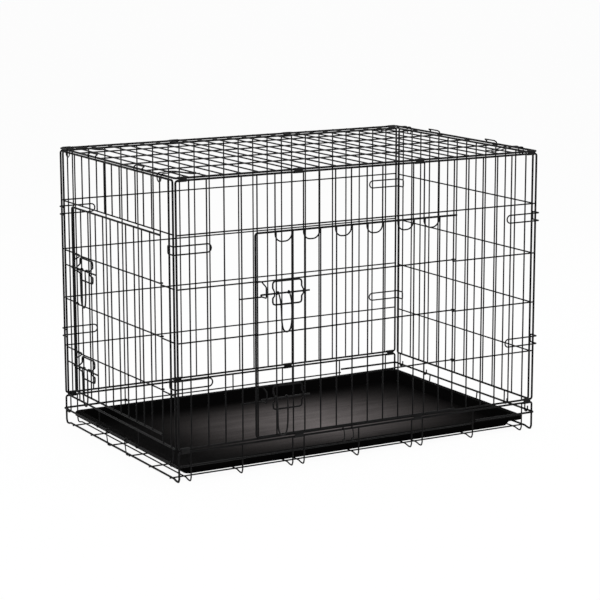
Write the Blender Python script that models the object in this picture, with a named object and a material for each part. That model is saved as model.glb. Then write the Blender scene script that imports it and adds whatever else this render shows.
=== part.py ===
"""A folding wire dog cage with a side door, an end door and a plastic tray. Metres, +Z up."""

import math

import bmesh
import bpy
from mathutils import Matrix, Vector

# Overall sizes, between the centres of the frame wires.
LENGTH = 1.0714
WIDTH = 0.702
PANEL_BOTTOM = 0.0865
PANEL_TOP = 0.7592
TOP_PANEL_LIFT = 0.0063
BASE_RAIL_DROP = 0.008

# Wires.
FRAME_WIRE = 0.005
MESH_WIRE = 0.0034
HOOK_WIRE = 0.0026
BOLT_WIRE = 0.004
GUIDE_WIRE = 0.003
WELD = 0.0006
GAP = 0.0004
CORNER_BEND = 0.0064

# Long panels: the wires stand in three bays, with a gap for a hinge clip between the bays.
LEFT_BAY = 0.3407
RIGHT_BAY = 0.3707
CLIP_GAP = 0.0335
END_MARGIN = 0.035
BAY_WIRES = (7, 8, 8)
LEVELS = 6

# Top panel.
TOP_LONG_WIRES = (-0.171, -0.035, 0.104, 0.235)

# End panels.
END_BOTTOM = 0.084
END_TOP = 0.759
END_SIDE = 0.016
END_WIRES = 14
END_FIRST_WIRE = 0.0216
END_LAST_WIRE = 0.0335
TAB_HEIGHT = 0.009
RIGHT_TABS = ((3, 4), (9, 10))
LEFT_TABS = ((3, 4), (9, 10))
PIVOT_HOOK_TIP = 0.009
PIVOT_INSET = 0.015
LEFT_PIVOTS = (-0.118, 0.128)
RIGHT_PIVOTS = (-0.222, 0.189)

# Doors.
FRONT_DOOR_TOP = 0.614
FRONT_DOOR_BOTTOM = 0.0918
END_DOOR_TOP = 0.6165
END_DOOR_BOTTOM = 0.110
DOOR_OVERLAP = 0.0125
DOOR_WIRE_SHIFT = 0.0023
LOOP_SHIFT = 0.0015
HINGE_RISE = 0.0055
EYE_TURN = 280
LOOP_BOTTOM = 0.587
LOOP_BEND = 0.018
RAIL_PAST_PIN = 0.006

# Slide bolts.
ROD_DROP = 0.0311
ROD_STAND_OFF = 0.0078
BOLT_TIP_DROP = 0.005
FRONT_BOLT_LENGTH = 0.140
END_BOLT_LENGTH = 0.155
FRONT_TIP_INSET = 0.0029
END_TIP_INSET = 0.0003
FRONT_KEEPER_INSET = 0.0108
END_KEEPER_INSET = 0.0167
FRONT_GUIDE_WIDTH = 0.083
END_GUIDE_WIDTH = 0.082
FRONT_GUIDE_INSET = 0.0118
END_GUIDE_INSET = 0.056
FRONT_GRIP_INSETS = (0.0199, 0.0081)
END_GRIP_INSETS = (0.021, 0.021)
FRONT_GRIP_WIDTHS = (0.031, 0.030)
END_GRIP_WIDTHS = (0.032, 0.032)
GRIP_FOOT = 0.002
GRIP_BEND = 0.011
FRONT_GRIP_DROPS = (0.100, 0.098)
END_GRIP_DROPS = (0.100, 0.100)
GUIDE_HALF_HEIGHT = 0.030
KEEPER_STEP = 0.011
KEEPER_BELOW_ROD = 0.009
EYE_RADIUS = 0.0041

# Base.
RAIL_HEIGHT_LEFT = 0.0433
RAIL_HEIGHT_RIGHT = 0.050
RAIL_LEG = 0.190
RAIL_OUTSIDE = 0.0046
FLOOR_LONG_WIRES = (0.061, 0.182)
FLOOR_EDGE_WIRE = 0.048
FLOOR_LIFT = 0.0044
WALL_WIRE_HEIGHT = 0.0415
FOOT_HEIGHT = 0.012
FOOT_LENGTH = 0.008
FOOT_RAMP = 0.014
STOP_WIRES = (-0.082, 0.162)

# Corner keepers on the long panels.
KEEPER_LENGTH = 0.104
KEEPER_HEIGHT = 0.021
KEEPER_LEVELS = (0.2405, 0.578)
KEEPER_REACH = 0.0103
KEEPER_INWARD = 0.0255

# Hinge clips: thin strip round two wires.
CLIP_LENGTH = 0.026
END_CLIP_LENGTH = 0.023
CLIP_WALL = 0.001
CLIP_CLEARANCE = 0.0003

# Tray.
TRAY_END_ROOM = 0.0107
TRAY_SIDE_ROOM = 0.016
TRAY_RIM_TOP = 0.0375
TRAY_RIM = 0.0185
TRAY_LIP = 0.010
TRAY_WALL = 0.0025
TRAY_TAPER = 0.014
TRAY_CORNER = 0.024
TRAY_CLEARANCE = 0.0004

# Tray hooks, front rail clip and top hooks.
TRAY_HOOKS = (-0.048, 0.068)
CLIP_WIRE = 0.0024
RAIL_CLIP_X = -0.0484
RAIL_CLIP_WIDTH = 0.0267
RAIL_CLIP_BOTTOM = 0.042
TOP_HOOK_FRONT_INSET = 0.079
TOP_HOOK_BACK_INSET = 0.062
TOP_HOOK_TIP = 0.003
TOP_HOOK_WIDTH = 0.022

FRAME_R = FRAME_WIRE / 2
MESH_R = MESH_WIRE / 2
HOOK_R = HOOK_WIRE / 2
BOLT_R = BOLT_WIRE / 2
GUIDE_R = GUIDE_WIRE / 2
CLIP_R = CLIP_WIRE / 2
LAP = MESH_R - WELD / 2
HALF_L = LENGTH / 2
HALF_W = WIDTH / 2
INTO_FRAME = 0.0004

PIN_OUT = LAP
EYE_CENTRELINE = 2 * MESH_R + GAP
EYE_HOOK = FRAME_R + MESH_R + GAP
DOOR_BARS_OUT = PIN_OUT + EYE_CENTRELINE
DOOR_FRAME_OUT = DOOR_BARS_OUT + LAP
DOOR_WIRES_OUT = DOOR_FRAME_OUT + LAP
ROD_OUT = DOOR_WIRES_OUT + ROD_STAND_OFF
GUIDE_OUT = DOOR_WIRES_OUT + MESH_R + GUIDE_R - WELD
HUMP_OUT = ROD_OUT + BOLT_R + GAP + GUIDE_R
KEEPER_OUT = ROD_OUT + BOLT_R + GAP + MESH_R
TOP_HEIGHT = PANEL_TOP + TOP_PANEL_LIFT
BASE_RAIL = PANEL_BOTTOM - BASE_RAIL_DROP

CLIP_1 = -HALF_L + LEFT_BAY
CLIP_2 = HALF_L - RIGHT_BAY

PARTS = []
PIVOTS = {}


def spread(first, last, count):
    """Evenly spaced places from first to last."""
    return [first + (last - first) * i / (count - 1) for i in range(count)]


def material(name, color, roughness, metallic):
    mat = bpy.data.materials.new(name)
    mat.use_nodes = True
    shader = mat.node_tree.nodes["Principled BSDF"]
    shader.inputs["Base Color"].default_value = (*color, 1)
    shader.inputs["Roughness"].default_value = roughness
    shader.inputs["Metallic"].default_value = metallic
    return mat


def front(s, n, z):
    """s runs along +X and n points out of the front of the cage."""
    return Vector((s, -HALF_W - n, z))


def back(s, n, z):
    """s runs along +X and n points out of the back of the cage."""
    return Vector((s, HALF_W + n, z))


def left(s, n, z):
    """s runs along -Y and n points out of the left end."""
    return Vector((-HALF_L - n, -s, z))


def right(s, n, z):
    """s runs along +Y and n points out of the right end."""
    return Vector((HALF_L + n, s, z))


def top(s, n, y):
    """s runs along +X and n points up out of the top panel."""
    return Vector((s, y, TOP_HEIGHT + n))


def fillet(points, radius, steps=3):
    """Replaces each inner corner of a path by a bend."""
    path = [Vector(points[0])]
    for before, corner, after in zip(points, points[1:], points[2:]):
        corner = Vector(corner)
        back_way = (Vector(before) - corner).normalized()
        on_way = (Vector(after) - corner).normalized()
        half = back_way.angle(on_way) / 2
        reach = radius / math.tan(half)
        centre = corner + (back_way + on_way).normalized() * radius / math.sin(half)
        start = corner + back_way * reach - centre
        turn = math.pi - 2 * half
        axis = start.cross(corner + on_way * reach - centre).normalized()
        for i in range(steps + 1):
            path.append(centre + Matrix.Rotation(turn * i / steps, 3, axis) @ start)
    path.append(Vector(points[-1]))
    return path


def closed_fillet(points, radius, steps=3):
    """The same for a closed path, which then starts in the middle of its last side."""
    middle = (Vector(points[-1]) + Vector(points[0])) / 2
    return fillet([middle, *points, middle], radius, steps)[:-1]


def arc(centre, across, up, radius, start, end, steps):
    """Points on an arc; the angles are in degrees from across towards up."""
    found = []
    for i in range(steps + 1):
        angle = math.radians(start + (end - start) * i / steps)
        found.append(centre + radius * (math.cos(angle) * across + math.sin(angle) * up))
    return found


def add_tube(mesh, points, radius, sides=4, closed=False, turn=0.0, normal=None):
    """Adds one closed tube along the points, with mitred bends."""
    points = [Vector(p) for p in points]
    count = len(points)
    ways = [(points[(i + 1) % count] - points[i]).normalized() for i in range(count)]
    if not closed:
        ways[-1] = ways[-2]
    first = ways[0]
    if normal is None:
        flattest = min(range(3), key=lambda i: abs(first[i]))
        normal = Vector([float(i == flattest) for i in range(3)])
    across = (normal - first * normal.dot(first)).normalized()
    up = first.cross(across)
    ring = []
    for i in range(sides):
        angle = 2 * math.pi * i / sides + turn
        ring.append(points[0] + radius * (math.cos(angle) * across + math.sin(angle) * up))
    rings = [[mesh.verts.new(p) for p in ring]]
    for i in range(1, count):
        into = ways[i - 1]
        plane = (into + ways[i]).normalized()
        ring = [p + into * ((points[i] - p).dot(plane) / into.dot(plane)) for p in ring]
        rings.append([mesh.verts.new(p) for p in ring])
    pairs = list(zip(rings, rings[1:]))
    if closed:
        last = [p + ways[-1] * (points[0] - p).dot(ways[-1]) for p in ring]
        shift = min(range(sides), key=lambda i: (last[i] - rings[0][0].co).length)
        shift = -shift % sides
        pairs.append((rings[-1], [rings[0][(i + shift) % sides] for i in range(sides)]))
    faces = []
    for one, two in pairs:
        for i in range(sides):
            j = (i + 1) % sides
            faces.append(mesh.faces.new((one[i], one[j], two[j], two[i])))
    if not closed:
        faces.append(mesh.faces.new(rings[0][::-1]))
        faces.append(mesh.faces.new(rings[-1]))
    bmesh.ops.recalc_face_normals(mesh, faces=faces)


def solid(name, groups):
    """Welds groups of tubes into one object. No two tubes in a group touch."""
    objects = []
    for group in groups:
        mesh = bmesh.new()
        for tube in group:
            add_tube(mesh, **tube)
        data = bpy.data.meshes.new(name)
        mesh.to_mesh(data)
        mesh.free()
        obj = bpy.data.objects.new(name, data)
        bpy.context.scene.collection.objects.link(obj)
        objects.append(obj)
    body = objects[0]
    for other in objects[1:]:
        union = body.modifiers.new("weld", "BOOLEAN")
        union.operation = "UNION"
        union.solver = "EXACT"
        union.object = other
        other.hide_render = True
        other.display_type = "WIRE"
    bpy.context.view_layer.update()
    graph = bpy.context.evaluated_depsgraph_get()
    data = bpy.data.meshes.new_from_object(body.evaluated_get(graph))
    body.modifiers.clear()
    body.data = data
    for other in objects[1:]:
        bpy.data.objects.remove(other)
    data.name = name
    return body


def finish(body, mat, pivot=None):
    """Gives an object its finish, and puts its origin on its joint."""
    body.data.materials.clear()
    body.data.materials.append(mat)
    body.data.shade_smooth()
    body.data.set_sharp_from_angle(angle=math.radians(40))
    if pivot is not None:
        body.data.transform(Matrix.Translation(-pivot))
        body.location = pivot
        PIVOTS[body.name] = body
    PARTS.append(body)
    return body


def mesh_tube(points, **more):
    return {"points": points, "radius": MESH_R, **more}


def frame_tube(points, **more):
    return {"points": points, "radius": FRAME_R, "sides": 6, **more}


def straight(place, s0, z0, s1, z1, n=0.0):
    return [place(s0, n, z0), place(s1, n, z1)]


def out_of(place):
    """The way out of a panel."""
    return (place(0, 1, 0) - place(0, 0, 0)).normalized()


def panel_frame(place, s0, z0, s1, z1, n=0.0):
    corners = [place(s0, n, z0), place(s1, n, z0), place(s1, n, z1), place(s0, n, z1)]
    return frame_tube(closed_fillet(corners, CORNER_BEND), closed=True, normal=out_of(place))


def bay_wires():
    left_bay = spread(-HALF_L + END_MARGIN, CLIP_1 - CLIP_GAP / 2, BAY_WIRES[0])
    middle_bay = spread(CLIP_1 + CLIP_GAP / 2, CLIP_2 - CLIP_GAP / 2, BAY_WIRES[1])
    right_bay = spread(CLIP_2 + CLIP_GAP / 2, HALF_L - END_MARGIN, BAY_WIRES[2])
    return left_bay, middle_bay, right_bay


def corner_keepers(place):
    """Loops that reach round each corner and stop the end panel's side wire."""
    lap = FRAME_R + MESH_R - WELD
    found = []
    for side in (-1, 1):
        for low in KEEPER_LEVELS:
            high = low + KEEPER_HEIGHT
            near = side * (HALF_L + KEEPER_REACH - KEEPER_LENGTH)
            far = side * (HALF_L + KEEPER_REACH)
            path = [
                place(near, lap, low),
                place(far, lap, low),
                place(far, -KEEPER_INWARD, low),
                place(far, -KEEPER_INWARD, high),
                place(far, lap, high),
                place(near, lap, high),
            ]
            found.append(mesh_tube(closed_fillet(path, 0.004, 2), closed=True, normal=out_of(place)))
    return found


def bolt_keeper(place, s_from, s_back, s_loop, level):
    """A panel wire that ends in a loop for the bolt, and comes back below it."""
    low = level - ROD_DROP - KEEPER_BELOW_ROD
    step = level - KEEPER_STEP
    path = [
        place(s_from, -LAP, level),
        place(s_loop, -LAP, level),
        place(s_loop, -LAP, step),
        place(s_loop, KEEPER_OUT, step),
        place(s_loop, KEEPER_OUT, low),
        place(s_loop, -LAP, low),
        place(s_back, -LAP, low),
    ]
    return mesh_tube(fillet(path, 0.003, 2), normal=out_of(place))


def front_panel():
    bays = bay_wires()
    wires = bays[0] + bays[1] + bays[2]
    pin = bays[2][2]
    post = bays[0][4]
    span = [x for x in wires if post < x < pin]
    levels = spread(PANEL_BOTTOM, PANEL_TOP, LEVELS)
    uprights = []
    for x in wires:
        if x <= post or x >= pin:
            ends = straight(front, x, PANEL_BOTTOM - INTO_FRAME, x, PANEL_TOP + INTO_FRAME, LAP)
            uprights.append(mesh_tube(ends, normal=out_of(front)))
    for one, two in zip(span[::2], span[1::2]):
        near = one - LOOP_SHIFT
        far = two - LOOP_SHIFT
        loop = [
            front(near, LAP, PANEL_TOP + INTO_FRAME),
            front(near, LAP, LOOP_BOTTOM),
            front(far, LAP, LOOP_BOTTOM),
            front(far, LAP, PANEL_TOP + INTO_FRAME),
        ]
        uprights.append(mesh_tube(fillet(loop, LOOP_BEND, 4), normal=out_of(front)))
    loop_at = post + FRONT_KEEPER_INSET
    bars = []
    past = HALF_L + INTO_FRAME
    bars.append(mesh_tube(straight(front, -past, levels[4], past, levels[4], -LAP), normal=out_of(front)))
    for level in levels[1:4]:
        stub = straight(front, pin - INTO_FRAME, level, past, level, -LAP)
        bars.append(mesh_tube(stub, normal=out_of(front)))
    for level in (levels[1], levels[3]):
        bars.append(bolt_keeper(front, -past, bays[0][3] - 0.004, loop_at, level))
    stub = straight(front, -past, levels[2], post + INTO_FRAME, levels[2], -LAP)
    bars.append(mesh_tube(stub, normal=out_of(front)))
    frame = panel_frame(front, -HALF_L, PANEL_BOTTOM, HALF_L, PANEL_TOP)
    return solid("front_panel", [[frame], uprights, bars, corner_keepers(front)])


def back_panel():
    wires = sum(bay_wires(), [])
    levels = spread(PANEL_BOTTOM, PANEL_TOP, LEVELS)
    uprights = []
    for x in wires:
        ends = straight(back, x, PANEL_BOTTOM - INTO_FRAME, x, PANEL_TOP + INTO_FRAME, LAP)
        uprights.append(mesh_tube(ends, normal=out_of(back)))
    past = HALF_L + INTO_FRAME
    bars = []
    for level in levels[1:-1]:
        bars.append(mesh_tube(straight(back, -past, level, past, level, -LAP), normal=out_of(back)))
    frame = panel_frame(back, -HALF_L, PANEL_BOTTOM, HALF_L, PANEL_TOP)
    return solid("back_panel", [[frame], uprights, bars, corner_keepers(back)])


def top_panel():
    cross = []
    past = HALF_W + INTO_FRAME
    for x in sum(bay_wires(), []):
        cross.append(mesh_tube(straight(top, x, -past, x, past, LAP), normal=out_of(top)))
    long = []
    past = HALF_L + INTO_FRAME
    for y in TOP_LONG_WIRES:
        long.append(mesh_tube(straight(top, -past, y, past, y, -LAP), normal=out_of(top)))
    frame = panel_frame(top, -HALF_L, -HALF_W, HALF_L, HALF_W)
    wires = [-s for s in end_wires()][::-1]
    tabs = end_tabs(left, wires, LEFT_TABS) + end_tabs(right, wires, RIGHT_TABS)
    return solid("top_panel", [[frame], cross, long, tabs])


def end_wires():
    """Places of an end panel's upright wires, from its first side to its last."""
    return spread(-HALF_W + END_SIDE + END_FIRST_WIRE, HALF_W - END_SIDE - END_LAST_WIRE, END_WIRES)


def end_tabs(place, wires, pairs):
    """Loops welded outside the top panel's end rail and bent in over it, in line with end wires."""
    out = FRAME_R + MESH_R - WELD
    found = []
    for i, j in pairs:
        path = []
        for n, z in ((out, -0.0022), (out, 0.0040), (-0.0030, TAB_HEIGHT)):
            path.append(place(wires[i], n, TOP_HEIGHT + z))
        for n, z in ((-0.0030, TAB_HEIGHT), (out, 0.0040), (out, -0.0022)):
            path.append(place(wires[j], n, TOP_HEIGHT + z))
        found.append(mesh_tube(fillet(path, 0.003, 2), normal=out_of(place)))
    return found


def pivot_hooks(place, pivots, rail_height):
    """Wires that run down from the bottom rail and curl round the pivot rail."""
    found = []
    for s in pivots:
        centre = place(s, RAIL_OUTSIDE, rail_height)
        path = [place(s, RAIL_OUTSIDE - EYE_HOOK, END_BOTTOM + INTO_FRAME)]
        path += arc(centre, out_of(place), Vector((0, 0, 1)), EYE_HOOK, 180, 360, 4)
        path.append(place(s, RAIL_OUTSIDE + EYE_HOOK, rail_height + PIVOT_HOOK_TIP))
        found.append(mesh_tube(path, normal=out_of(place)))
    return found


def end_pivots(middle):
    """Places of the hooks on the pivot rail: one near each side, and the middle ones."""
    edge = HALF_W - END_SIDE - PIVOT_INSET
    return [-edge, *middle, edge]


def end_frame(place):
    side = HALF_W - END_SIDE
    return panel_frame(place, -side, END_BOTTOM, side, END_TOP)


def right_end_panel():
    side = HALF_W - END_SIDE + INTO_FRAME
    wires = [-s for s in end_wires()][::-1]
    uprights = []
    for s in wires:
        ends = straight(right, s, END_BOTTOM - INTO_FRAME, s, END_TOP + INTO_FRAME, LAP)
        uprights.append(mesh_tube(ends, normal=out_of(right)))
    bars = []
    for level in spread(END_BOTTOM, END_TOP, LEVELS)[1:-1]:
        bars.append(mesh_tube(straight(right, -side, level, side, level, -LAP), normal=out_of(right)))
    extras = pivot_hooks(right, end_pivots(RIGHT_PIVOTS), RAIL_HEIGHT_RIGHT)
    return solid("right_end_panel", [[end_frame(right)], uprights, bars, extras])


def left_end_panel():
    side = HALF_W - END_SIDE + INTO_FRAME
    wires = [-s for s in end_wires()][::-1]
    pin = wires[-2]
    post = wires[1]
    levels = spread(END_BOTTOM, END_TOP, LEVELS)
    uprights = []
    for s in wires:
        low = END_BOTTOM - INTO_FRAME if s <= post or s >= pin else levels[4] - INTO_FRAME
        ends = straight(left, s, low, s, END_TOP + INTO_FRAME, LAP)
        uprights.append(mesh_tube(ends, normal=out_of(left)))
    bars = [mesh_tube(straight(left, -side, levels[4], side, levels[4], -LAP), normal=out_of(left))]
    for level in levels[1:4]:
        stub = straight(left, pin - INTO_FRAME, level, side, level, -LAP)
        bars.append(mesh_tube(stub, normal=out_of(left)))
    loop_at = post + END_KEEPER_INSET
    for level in (levels[1], levels[3]):
        bars.append(bolt_keeper(left, -side, -side, loop_at, level))
    bars.append(mesh_tube(straight(left, -side, levels[2], post + INTO_FRAME, levels[2], -LAP)))
    pivots = [-y for y in end_pivots(LEFT_PIVOTS)]
    extras = pivot_hooks(left, pivots, RAIL_HEIGHT_LEFT)
    return solid("left_end_panel", [[end_frame(left)], uprights, bars, extras])


def door(name, place, wires, latch_side, pin, bottom, top_edge, levels, guides):
    """A door leaf. Its bars curl round the pin wire of the panel that carries it."""
    far = pin + RAIL_PAST_PIN
    corners = [
        place(far, DOOR_FRAME_OUT, top_edge),
        place(latch_side, DOOR_FRAME_OUT, top_edge),
        place(latch_side, DOOR_FRAME_OUT, bottom),
        place(far, DOOR_FRAME_OUT, bottom),
    ]
    frame = frame_tube(fillet(corners, CORNER_BEND), normal=out_of(place))
    uprights = []
    for s in wires:
        ends = straight(place, s, bottom - INTO_FRAME, s, top_edge + INTO_FRAME, DOOR_WIRES_OUT)
        uprights.append(mesh_tube(ends, normal=out_of(place)))
    bars = []
    along = place(1, 0, 0) - place(0, 0, 0)
    for level in levels:
        centre = place(pin, PIN_OUT, level + HINGE_RISE)
        path = [place(latch_side - INTO_FRAME, DOOR_BARS_OUT, level)]
        path.append(place(wires[-1], DOOR_BARS_OUT, level + HINGE_RISE))
        path += arc(centre, -out_of(place), along, -EYE_CENTRELINE, 0, -EYE_TURN, 6)
        bars.append(mesh_tube(path, normal=out_of(place)))
    loops = []
    for s0, s1, rod in guides:
        loops.append(guide_loop(place, s0, s1, rod))
    return solid(name, [[frame], uprights, bars, loops])


def guide_loop(place, s0, s1, rod):
    """A wire loop on the door whose two sides hump over the bolt."""
    path = []
    for s, way in ((s0, -1), (s1, 1)):
        path.append(place(s, GUIDE_OUT, rod - way * GUIDE_HALF_HEIGHT))
        path.append(place(s, GUIDE_OUT, rod - way * 0.013))
        path.append(place(s, HUMP_OUT, rod - way * 0.005))
        path.append(place(s, HUMP_OUT, rod + way * 0.005))
        path.append(place(s, GUIDE_OUT, rod + way * 0.013))
        path.append(place(s, GUIDE_OUT, rod + way * GUIDE_HALF_HEIGHT))
    return {"points": path, "radius": GUIDE_R, "closed": True, "normal": out_of(place)}


def bolt(name, place, s_tip, s_end, rod):
    """A rod with its tip bent down."""
    path = [
        place(s_tip, ROD_OUT, rod - BOLT_TIP_DROP),
        place(s_tip + 0.005, ROD_OUT, rod),
        place(s_end, ROD_OUT, rod),
    ]
    return solid(name, [[{"points": path, "radius": BOLT_R, "sides": 6, "normal": out_of(place)}]])


def handle(name, place, s0, s1, rod, drop):
    """A hanging loop with an eye round the bolt at each upper end."""
    up = Vector((0, 0, 1))
    eyes = []
    for s in (s0, s1):
        eyes.append(arc(place(s, ROD_OUT, rod), out_of(place), up, EYE_RADIUS, 240, 0, 6))
    out = ROD_OUT + EYE_RADIUS
    neck = rod - drop * 0.35
    low = [place(s0, out, neck), place(s0 + GRIP_FOOT, out, rod - drop)]
    low.append(place(s1 - GRIP_FOOT, out, rod - drop))
    low.append(place(s1, out, neck))
    bent = fillet([eyes[0][-1], *low, eyes[1][-1]], GRIP_BEND, 3)
    path = eyes[0] + bent[1:-1] + eyes[1][::-1]
    return solid(name, [[{"points": path, "radius": GUIDE_R, "normal": out_of(place)}]])


def foot_path(x, floor, low):
    """The lower run of a cross wire: down the wall, a short foot, then up to the floor level."""
    toe = HALF_W - 0.007
    heel = toe - FOOT_LENGTH
    half = [(HALF_W, FOOT_HEIGHT), (HALF_W - 0.0035, low + 0.0012), (toe, low), (heel, low)]
    half.append((heel - FOOT_RAMP, floor))
    path = [Vector((x, -y, z)) for y, z in half]
    return path + [Vector((x, y, z)) for y, z in half[::-1]]


def base_panel():
    long_way = Vector((1, 0, 0))
    flat = math.radians(45)
    foot = MESH_R * math.cos(flat)
    end_foot = FRAME_R * math.cos(flat / 2)
    end_floor = FLOOR_LIFT + FRAME_R * math.cos(flat)
    ring = []
    for x, way in ((-HALF_L, 1), (HALF_L, -1)):
        side = [Vector((x, -HALF_W, BASE_RAIL - CORNER_BEND))]
        side += foot_path(x, end_floor, end_foot)
        side.append(Vector((x, HALF_W, BASE_RAIL - CORNER_BEND)))
        bend = [Vector((x, HALF_W, BASE_RAIL - 0.02)), Vector((x, HALF_W, BASE_RAIL))]
        bend.append(Vector((0, HALF_W, BASE_RAIL)))
        side = side[:-1] + fillet(bend, CORNER_BEND)[1:-1]
        if way < 0:
            side = [Vector((p.x, -p.y, p.z)) for p in side]
        first = side[0]
        bend = [Vector((0, first.y, BASE_RAIL)), Vector((x, first.y, BASE_RAIL))]
        bend.append(Vector((x, first.y, BASE_RAIL - 0.02)))
        ring += fillet(bend, CORNER_BEND)[1:-1] + side[1:]
    ring = [Vector((0, -HALF_W, BASE_RAIL)), *ring]
    border = {"points": ring, "radius": FRAME_R, "sides": 8, "closed": True, "turn": flat / 2}
    bays = bay_wires()
    near_end = HALF_L - 0.033
    xs = [-near_end, (bays[0][-1] - near_end) / 2, bays[0][-1], bays[1][0], (CLIP_1 + CLIP_2) / 2]
    xs += [bays[1][-1], bays[2][0], (bays[2][0] + near_end) / 2, near_end]
    cross = []
    for x in xs:
        path = foot_path(x, FLOOR_LIFT + foot, foot)
        path = [Vector((x, -HALF_W, BASE_RAIL + INTO_FRAME)), *path]
        path.append(Vector((x, HALF_W, BASE_RAIL + INTO_FRAME)))
        cross.append(mesh_tube(path, turn=flat, normal=long_way))
    long_wires = []
    height = FLOOR_LIFT - MESH_R + WELD
    for y in (*FLOOR_LONG_WIRES, HALF_W - FLOOR_EDGE_WIRE):
        for side in (-1, 1):
            ends = [Vector((x, side * y, height)) for x in (-HALF_L - 0.003, HALF_L + 0.003)]
            long_wires.append(mesh_tube(ends))
    wall = HALF_W - foot - MESH_R + 0.0005
    for side in (-1, 1):
        ends = [Vector((x, side * wall, WALL_WIRE_HEIGHT)) for x in (xs[1] - 0.003, xs[7] + 0.003)]
        long_wires.append(mesh_tube(ends))
    rails = []
    leg_out = HALF_W + foot + FRAME_R - 0.0005
    for side, height in ((-1, RAIL_HEIGHT_LEFT), (1, RAIL_HEIGHT_RIGHT)):
        x = side * (HALF_L + RAIL_OUTSIDE)
        leg = side * (HALF_L - RAIL_LEG + 0.004)
        path = [Vector((leg, -leg_out, height)), Vector((x, -leg_out, height))]
        path += [Vector((x, leg_out, height)), Vector((leg, leg_out, height))]
        rails.append(frame_tube(fillet(path, 0.005, 2), normal=Vector((0, 0, 1))))
    stops = []
    for y in STOP_WIRES:
        ends = [Vector((HALF_L + RAIL_OUTSIDE, y, RAIL_HEIGHT_RIGHT)), Vector((HALF_L, y, end_floor))]
        stops.append(mesh_tube(ends, normal=Vector((0, 1, 0))))
    return solid("base_panel", [[border], cross, long_wires, rails, stops])


def clip(name, x, length, y, low, high):
    """A strip bent into a flat ring round two stacked wires."""
    mesh = bmesh.new()
    rings = []
    inner = FRAME_R + CLIP_CLEARANCE
    steps = 5
    for radius in (inner, inner + CLIP_WALL):
        outline = []
        for centre, start in ((high, 0), (low, 180)):
            for i in range(steps + 1):
                angle = math.radians(start + 180 * i / steps)
                outline.append((radius * math.cos(angle), centre + radius * math.sin(angle)))
        for end in (-length / 2, length / 2):
            rings.append([mesh.verts.new((x + end, y + a, b)) for a, b in outline])
    for one, two in ((0, 1), (1, 3), (3, 2), (2, 0)):
        for i in range(len(rings[0])):
            j = (i + 1) % len(rings[0])
            mesh.faces.new((rings[one][i], rings[one][j], rings[two][j], rings[two][i]))
    bmesh.ops.recalc_face_normals(mesh, faces=mesh.faces)
    data = bpy.data.meshes.new(name)
    mesh.to_mesh(data)
    mesh.free()
    obj = bpy.data.objects.new(name, data)
    bpy.context.scene.collection.objects.link(obj)
    return obj


def hinge_clips(mat):
    end = HALF_L - CORNER_BEND - END_CLIP_LENGTH / 2
    stations = ((1, -end, END_CLIP_LENGTH), (2, CLIP_1, CLIP_LENGTH))
    stations += ((3, CLIP_2, CLIP_LENGTH), (4, end, END_CLIP_LENGTH))
    for side, y in (("front", -HALF_W), ("back", HALF_W)):
        for number, x, length in stations:
            low = clip(f"base_clip_{side}_{number}", x, length, y, BASE_RAIL, PANEL_BOTTOM)
            finish(low, mat)
            high = clip(f"top_clip_{side}_{number}", x, length, y, PANEL_TOP, TOP_HEIGHT)
            finish(high, mat)


def rounded_ring(mesh, half_l, half_w, corner, z):
    ring = []
    steps = 4
    for quarter, (a, b) in enumerate(((1, 1), (-1, 1), (-1, -1), (1, -1))):
        for i in range(steps + 1):
            angle = math.radians(90 * (quarter + i / steps))
            x = a * (half_l - corner) + corner * math.cos(angle)
            y = b * (half_w - corner) + corner * math.sin(angle)
            ring.append(mesh.verts.new((x, y, z)))
    return ring


def tray():
    """A shallow plastic tray with sloping walls and a turned-down rim."""
    mesh = bmesh.new()
    bottom = FLOOR_LIFT + 2 * MESH_R * math.cos(math.radians(45)) + TRAY_CLEARANCE
    half_l = HALF_L - TRAY_END_ROOM
    half_w = HALF_W - TRAY_SIDE_ROOM
    lip = TRAY_RIM_TOP - TRAY_LIP
    under = TRAY_RIM_TOP - TRAY_WALL
    sections = (
        (TRAY_RIM + TRAY_TAPER + TRAY_WALL, bottom + TRAY_WALL),
        (TRAY_RIM, TRAY_RIM_TOP),
        (0, TRAY_RIM_TOP),
        (0, lip),
        (TRAY_WALL, lip),
        (TRAY_WALL, under),
        (TRAY_RIM - TRAY_WALL, under),
        (TRAY_RIM + TRAY_TAPER, bottom),
    )
    rings = []
    for inset, z in sections:
        corner = max(TRAY_CORNER - inset * 0.3, TRAY_WALL)
        rings.append(rounded_ring(mesh, half_l - inset, half_w - inset, corner, z))
    for one, two in zip(rings, rings[1:]):
        for i in range(len(one)):
            j = (i + 1) % len(one)
            mesh.faces.new((one[i], one[j], two[j], two[i]))
    mesh.faces.new(rings[0])
    mesh.faces.new(rings[-1][::-1])
    bmesh.ops.recalc_face_normals(mesh, faces=mesh.faces)
    data = bpy.data.meshes.new("tray")
    mesh.to_mesh(data)
    mesh.free()
    obj = bpy.data.objects.new("tray", data)
    bpy.context.scene.collection.objects.link(obj)
    return obj


def tray_hook(name, y):
    """Hangs on the left rail and hooks under the floor wire, so that the tray stays in."""
    out = Vector((-1, 0, 0))
    up = Vector((0, 0, 1))
    end_floor = FLOOR_LIFT + FRAME_R * math.cos(math.radians(45))
    rail = Vector((-HALF_L - RAIL_OUTSIDE, y, RAIL_HEIGHT_LEFT))
    wire = Vector((-HALF_L, y, end_floor))
    eye = FRAME_R + HOOK_R + GAP
    path = arc(rail, out, up, eye, 230, 0, 6)
    path += arc(wire, out, up, eye, -10, -115, 4)
    return solid(name, [[{"points": path, "radius": HOOK_R, "normal": out}]]), rail


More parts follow.
